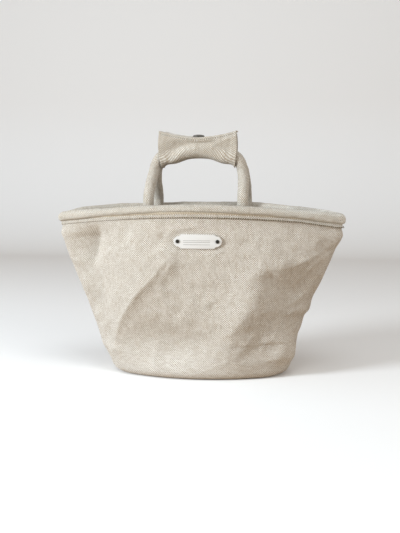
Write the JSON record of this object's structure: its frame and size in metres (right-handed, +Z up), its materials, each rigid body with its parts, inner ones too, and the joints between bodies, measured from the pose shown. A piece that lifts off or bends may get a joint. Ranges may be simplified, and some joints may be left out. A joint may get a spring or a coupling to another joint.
{
  "type": "market bag",
  "caption": "Flared linen market bag with a flat oval base, a corded lens-shaped mouth, two tube handles and a snapped cloth grip wrap.",
  "frame": {"origin": "middle of the oval base, on the surface that the bag stands on", "axes": "+X along the mouth towards the right side seam, +Y from the plate side towards the back, +Z up"},
  "size_m": [0.4274, 0.1486, 0.3554],
  "materials": {
    "panel_linen": "coarse plain weave, natural off-white",
    "cover_linen": "plain weave, natural off-white",
    "binding_tape": "woven cotton tape",
    "cotton_cord": "twisted cotton rope",
    "stiffener": "pressed fibre board, raw",
    "white_plate": "white enamel, satin, bare",
    "steel": "dull nickel"
  },
  "bodies": {
    "bag": {"front_panel": "panel_linen", "back_panel": "panel_linen", "base_panel": "panel_linen", "inner_base": "panel_linen", "front_facing": "panel_linen", "back_facing": "panel_linen", "front_rim_cover": "cover_linen", "back_rim_cover": "cover_linen", "front_left_handle_end": "cover_linen", "front_right_handle_end": "cover_linen", "back_left_handle_end": "cover_linen", "back_right_handle_end": "cover_linen", "base_seam_binding": "binding_tape", "left_seam_binding": "binding_tape", "right_seam_binding": "binding_tape", "rim_cord": "cotton_cord", "base_board": "stiffener", "name_plate": "white_plate", "left_plate_pin": "steel", "right_plate_pin": "steel", "left_pin_washer": "steel", "right_pin_washer": "steel"},
    "front_handle": {"front_handle_cover": "cover_linen", "front_handle_cord": "cotton_cord"},
    "back_handle": {"back_handle_cover": "cover_linen", "back_handle_cord": "cotton_cord", "grip_wrap": "cover_linen", "snap_stud": "steel", "snap_post": "steel"},
    "wrap_flap": {"wrap_flap": "cover_linen", "snap_cap": "steel", "snap_socket": "steel"}
  },
  "joints": [
    {"name": "front_handle_swing", "type": "hinge", "parent": "bag", "child": "front_handle", "pos_m": [0, -0.0501, 0.254], "axis": [1, 0, 0], "range_deg": [0, 115], "deforming": ["grip_wrap"]},
    {"name": "back_handle_swing", "type": "hinge", "parent": "bag", "child": "back_handle", "pos_m": [0, 0.0501, 0.254], "axis": [-1, 0, 0], "range_deg": [0, 115], "deforming": ["grip_wrap"]},
    {"name": "wrap_flap_open", "type": "hinge", "parent": "back_handle", "child": "wrap_flap", "pos_m": [0, -0.0185, 0.3454], "axis": [1, 0, 0], "range_deg": [0, 170], "deforming": ["grip_wrap"]}
  ]
}
